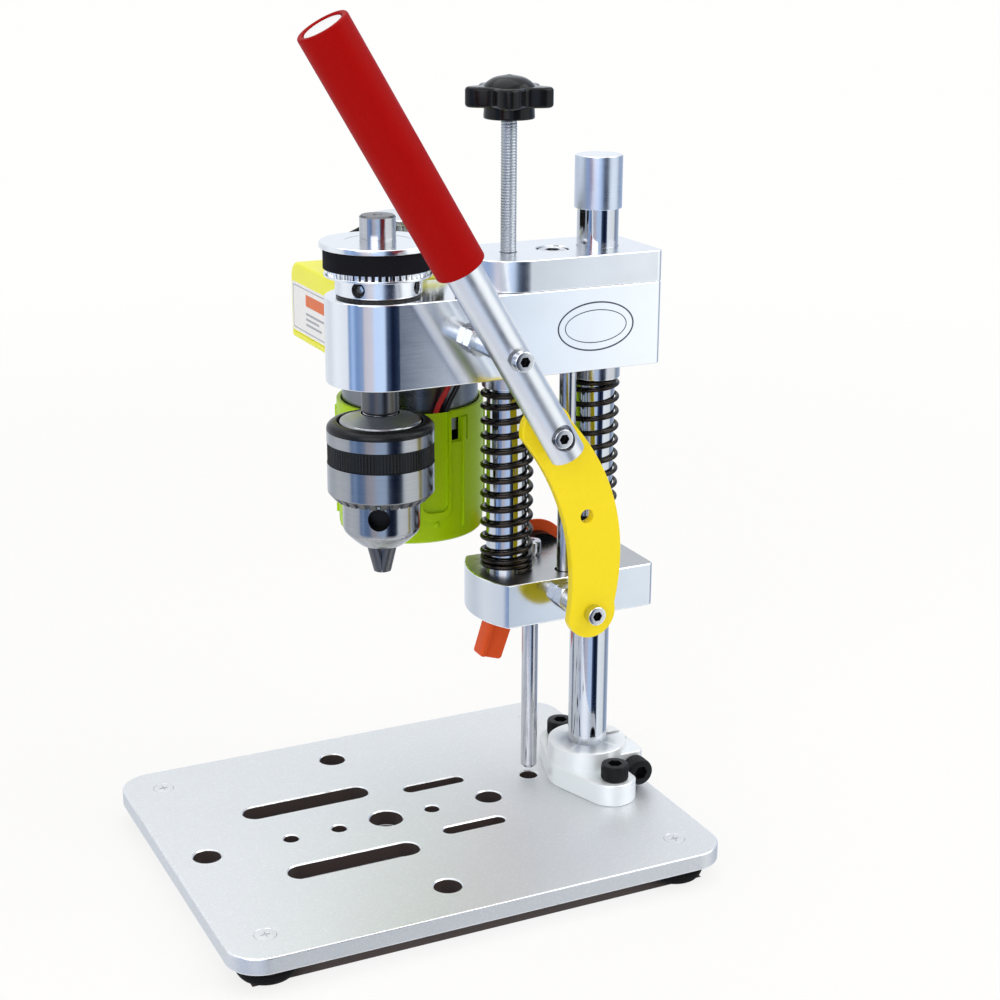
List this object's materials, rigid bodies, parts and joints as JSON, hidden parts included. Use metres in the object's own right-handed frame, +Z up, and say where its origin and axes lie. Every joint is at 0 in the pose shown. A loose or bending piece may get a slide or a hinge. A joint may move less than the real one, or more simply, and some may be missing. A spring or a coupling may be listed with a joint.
{
  "type": "mini drill press",
  "caption": "small bench drill press: sprung drill head on two guide shafts, pulled down by a hand lever and link, with belt drive, keyed chuck and slotted table plate",
  "frame": {"origin": "centre of the object's box in plan, on the plane that the feet stand on", "axes": "+Z up, -Y the front with the chuck, +X the side with the feed lever"},
  "size_m": [0.1204, 0.15, 0.2481],
  "materials": {
    "plate": "fine sandblasted",
    "aluminium": "milled, satin",
    "bright_steel": "ground and polished",
    "steel": "turned, bright",
    "dark_steel": "oil blackened spring wire",
    "black_screw": "black oxide",
    "rubber": "matt black",
    "black_plastic": "moulded, semi gloss",
    "red_grip": "smooth sleeve",
    "white_plug": "moulded",
    "yellow_link": "powder coated",
    "yellow_housing": "moulded",
    "lime_cover": "moulded, slightly clear",
    "orange_handle": "moulded",
    "motor_can": "drawn steel can",
    "red_wire": "wire insulation"
  },
  "bodies": {
    "base": {"base_plate": "plate", "foot_1": "rubber", "foot_2": "rubber", "foot_3": "rubber", "foot_4": "rubber", "foot_screw_1": "steel", "foot_screw_2": "steel", "foot_screw_3": "steel", "foot_screw_4": "steel", "column_flange": "aluminium", "flange_bolt_1": "black_screw", "flange_bolt_2": "black_screw", "flange_clamp_screw": "black_screw", "column": "bright_steel", "column_cap": "aluminium"},
    "bracket": {"lower_block": "aluminium", "guide_shaft": "bright_steel", "lower_rod": "bright_steel", "clamp_stud": "black_screw", "link_pivot_screw": "steel", "link_spacer": "steel", "front_spring": "dark_steel", "rear_spring": "dark_steel"},
    "clamp": {"clamp_handle": "orange_handle"},
    "head": {"head_block": "aluminium", "top_plate": "aluminium", "top_plate_screw": "steel", "front_bush": "steel", "rear_bush": "steel", "guide_rod": "bright_steel", "lower_bearing": "steel", "upper_bearing": "steel", "spindle_washer": "rubber", "drive_belt": "rubber", "motor_body": "motor_can", "motor_cover": "lime_cover", "housing": "yellow_housing", "power_socket": "black_plastic", "red_lead": "red_wire", "black_lead": "rubber", "lever_pivot_screw": "steel", "lever_spacer": "steel"},
    "spindle": {"spindle": "bright_steel", "spindle_pulley": "aluminium", "chuck_body": "steel"},
    "motor_drive": {"motor_pulley": "aluminium", "motor_shaft": "steel"},
    "sleeve": {"chuck_sleeve": "steel"},
    "jaw_a": {"jaw_1": "steel"},
    "jaw_b": {"jaw_2": "steel"},
    "jaw_c": {"jaw_3": "steel"},
    "depth": {"depth_screw": "steel"},
    "star": {"star_knob": "black_plastic"},
    "speed": {"speed_knob": "black_plastic"},
    "lever": {"lever_rod": "aluminium", "lever_grip": "red_grip", "grip_plug": "white_plug"},
    "link": {"link": "yellow_link", "link_screw": "steel"}
  },
  "joints": [
    {"name": "bracket_slide", "type": "slide", "parent": "base", "child": "bracket", "axis": [0, 0, 1], "range_m": [-0.013, 0.01]},
    {"name": "clamp_turn", "type": "hinge", "parent": "bracket", "child": "clamp", "pos_m": [-0.028, 0.05, 0.08], "axis": [1, 0, 0], "range_deg": [0, 90]},
    {"name": "head_slide", "type": "slide", "parent": "bracket", "child": "head", "axis": [0, 0, -1], "range_m": [0, 0.02], "stiffness_N_per_m": 450, "springref_m": -0.045, "deforming": ["front_spring", "rear_spring"]},
    {"name": "lever_turn", "type": "hinge", "parent": "head", "child": "lever", "pos_m": [0.037, 0.014, 0.1585], "axis": [1, 0, 0], "range_deg": [0, 56]},
    {"name": "link_turn", "type": "hinge", "parent": "bracket", "child": "link", "pos_m": [0.03, 0.043, 0.0793], "axis": [1, 0, 0], "range_deg": [-13.4, 0]},
    {"name": "spindle_turn", "type": "hinge", "parent": "head", "child": "spindle", "pos_m": [0, -0.0085, 0.13], "axis": [0, 0, 1], "continuous": true},
    {"name": "motor_turn", "type": "hinge", "parent": "head", "child": "motor_drive", "pos_m": [-0.038, 0.0167, 0.17], "axis": [0, 0, 1], "continuous": true},
    {"name": "jaw_a_slide", "type": "slide", "parent": "spindle", "child": "jaw_a", "axis": [0.2153, 0.1436, 0.9659], "range_m": [0, 0.01]},
    {"name": "jaw_b_slide", "type": "slide", "parent": "spindle", "child": "jaw_b", "axis": [-0.232, 0.1147, 0.9659], "range_m": [0, 0.01]},
    {"name": "jaw_c_slide", "type": "slide", "parent": "spindle", "child": "jaw_c", "axis": [0.0167, -0.2583, 0.9659], "range_m": [0, 0.01]},
    {"name": "sleeve_turn", "type": "hinge", "parent": "spindle", "child": "sleeve", "pos_m": [0, -0.0085, 0.12], "axis": [0, 0, 1], "range_deg": [0, 1800]},
    {"name": "depth_slide", "type": "slide", "parent": "head", "child": "depth", "axis": [0, 0, 1], "range_m": [-0.02, 0]},
    {"name": "star_turn", "type": "hinge", "parent": "depth", "child": "star", "pos_m": [0, 0.031, 0.22], "axis": [0, 0, 1], "range_deg": [-9000, 0]},
    {"name": "speed_turn", "type": "hinge", "parent": "head", "child": "speed", "pos_m": [-0.038, 0.07, 0.15865], "axis": [0, 1, 0], "range_deg": [0, 270]}
  ],
  "couplings": [
    {"joint": "lever_turn", "follows": "head_slide", "rad_per_m": 48.859},
    {"joint": "link_turn", "follows": "head_slide", "rad_per_m": -11.689},
    {"joint": "motor_turn", "follows": "spindle_turn", "ratio": 1.5},
    {"joint": "jaw_b_slide", "follows": "jaw_a_slide", "ratio": 1},
    {"joint": "jaw_c_slide", "follows": "jaw_a_slide", "ratio": 1},
    {"joint": "sleeve_turn", "follows": "jaw_a_slide", "rad_per_m": 3141.6},
    {"joint": "star_turn", "follows": "depth_slide", "rad_per_m": 7854}
  ]
}
